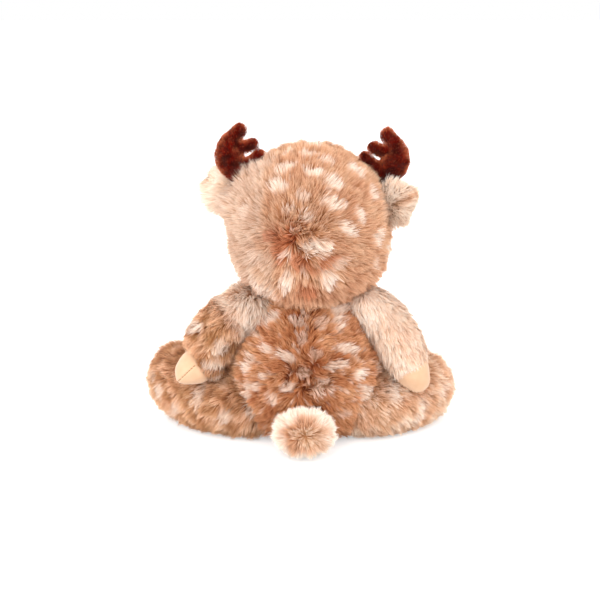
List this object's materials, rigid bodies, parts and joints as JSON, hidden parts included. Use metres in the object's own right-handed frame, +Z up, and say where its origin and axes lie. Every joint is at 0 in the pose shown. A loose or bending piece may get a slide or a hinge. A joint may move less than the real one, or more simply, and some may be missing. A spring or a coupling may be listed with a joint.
{
  "type": "plush deer",
  "caption": "Seated soft toy deer with a ball head, pear-shaped body, bent legs, round tail, velvet antlers, leaf ears and suede hooves.",
  "frame": {"origin": "on the flat seat under the body, in the plane that the toy sits on", "axes": "+Z up, +Y towards the tail, so the deer faces -Y; +X is the deer's own left side"},
  "size_m": [0.2615, 0.1833, 0.2619],
  "materials": {
    "spotted_fur": "long-pile fur fabric, tan with cream spots",
    "cream_fur": "long-pile fur fabric, cream",
    "cream_suede": "short-napped suede cloth",
    "brown_velvet": "short-pile velvet",
    "fibre": "loose polyester filling",
    "pellet_cotton": "cotton bag of plastic pellets",
    "eye_gloss": "polished",
    "washer_plastic": "moulded, matt"
  },
  "bodies": {
    "torso": {"torso_back_panel": "spotted_fur", "torso_belly_panel": "cream_fur", "torso_stuffing": "fibre", "seat_pellet_bag": "pellet_cotton"},
    "neck": {"neck_stuffing": "fibre"},
    "head": {"head_back_panel": "spotted_fur", "head_face_panel": "cream_fur", "head_stuffing": "fibre", "muzzle_skin": "cream_fur", "muzzle_stuffing": "fibre", "nose": "brown_velvet", "eye_left": "eye_gloss", "eye_right": "eye_gloss", "eye_washer_left": "washer_plastic", "eye_washer_right": "washer_plastic"},
    "ear_left": {"ear_back_left": "spotted_fur", "ear_lining_left": "cream_fur"},
    "ear_right": {"ear_back_right": "spotted_fur", "ear_lining_right": "cream_fur"},
    "antler_left": {"antler_back_left": "brown_velvet", "antler_front_left": "brown_velvet"},
    "antler_right": {"antler_back_right": "brown_velvet", "antler_front_right": "brown_velvet"},
    "arm_left": {"arm_left_sleeve": "spotted_fur", "arm_left_hoof": "cream_suede", "arm_left_stuffing": "fibre"},
    "arm_right": {"arm_right_sleeve": "spotted_fur", "arm_right_hoof": "cream_suede", "arm_right_stuffing": "fibre"},
    "leg_left": {"leg_left_sleeve": "spotted_fur", "leg_left_hoof": "cream_suede", "leg_left_stuffing": "fibre"},
    "leg_right": {"leg_right_sleeve": "spotted_fur", "leg_right_hoof": "cream_suede", "leg_right_stuffing": "fibre"},
    "tail": {"tail_skin": "spotted_fur", "tail_stuffing": "fibre"}
  },
  "joints": [
    {"name": "head_turn", "type": "hinge", "parent": "torso", "child": "neck", "pos_m": [0, -0.005, 0.18], "axis": [0, 0, 1], "range_deg": [-30, 30], "stiffness_Nm_per_rad": 0.3},
    {"name": "head_nod", "type": "hinge", "parent": "neck", "child": "head", "pos_m": [0, -0.005, 0.18], "axis": [1, 0, 0], "range_deg": [-10, 10], "stiffness_Nm_per_rad": 0.8},
    {"name": "ear_left_flap", "type": "hinge", "parent": "head", "child": "ear_left", "pos_m": [0.06372, -0.01282, 0.20594], "axis": [0.377, 0, -0.9262], "range_deg": [-15, 15], "stiffness_Nm_per_rad": 0.005},
    {"name": "ear_right_flap", "type": "hinge", "parent": "head", "child": "ear_right", "pos_m": [-0.06599, 0.00903, 0.19558], "axis": [-0.2297, 0, -0.9733], "range_deg": [-15, 15], "stiffness_Nm_per_rad": 0.005},
    {"name": "antler_left_bend", "type": "hinge", "parent": "head", "child": "antler_left", "pos_m": [0.05765, 0.00208, 0.2222], "axis": [0.5907, 0, -0.8069], "range_deg": [-12, 12], "stiffness_Nm_per_rad": 0.02},
    {"name": "antler_right_bend", "type": "hinge", "parent": "head", "child": "antler_right", "pos_m": [-0.06074, -0.00075, 0.21805], "axis": [-0.5308, 0, -0.8475], "range_deg": [-12, 12], "stiffness_Nm_per_rad": 0.02},
    {"name": "arm_left_lift", "type": "hinge", "parent": "torso", "child": "arm_left", "pos_m": [0.0465, -0.00021, 0.1115], "axis": [0, -1, 0], "range_deg": [0, 50]},
    {"name": "arm_right_lift", "type": "hinge", "parent": "torso", "child": "arm_right", "pos_m": [-0.0465, -0.00021, 0.1115], "axis": [0, 1, 0], "range_deg": [0, 50]},
    {"name": "leg_left_close", "type": "hinge", "parent": "torso", "child": "leg_left", "pos_m": [0.05, 0.006, 0.027], "axis": [0, 0, -1], "range_deg": [0, 20], "stiffness_Nm_per_rad": 0.05},
    {"name": "leg_right_close", "type": "hinge", "parent": "torso", "child": "leg_right", "pos_m": [-0.042, 0.006, 0.027], "axis": [0, 0, 1], "range_deg": [0, 20], "stiffness_Nm_per_rad": 0.05},
    {"name": "tail_wag", "type": "hinge", "parent": "torso", "child": "tail", "pos_m": [0.004, 0.04479, 0.0215], "axis": [0, 0, 1], "range_deg": [-12, 12], "stiffness_Nm_per_rad": 0.02}
  ]
}
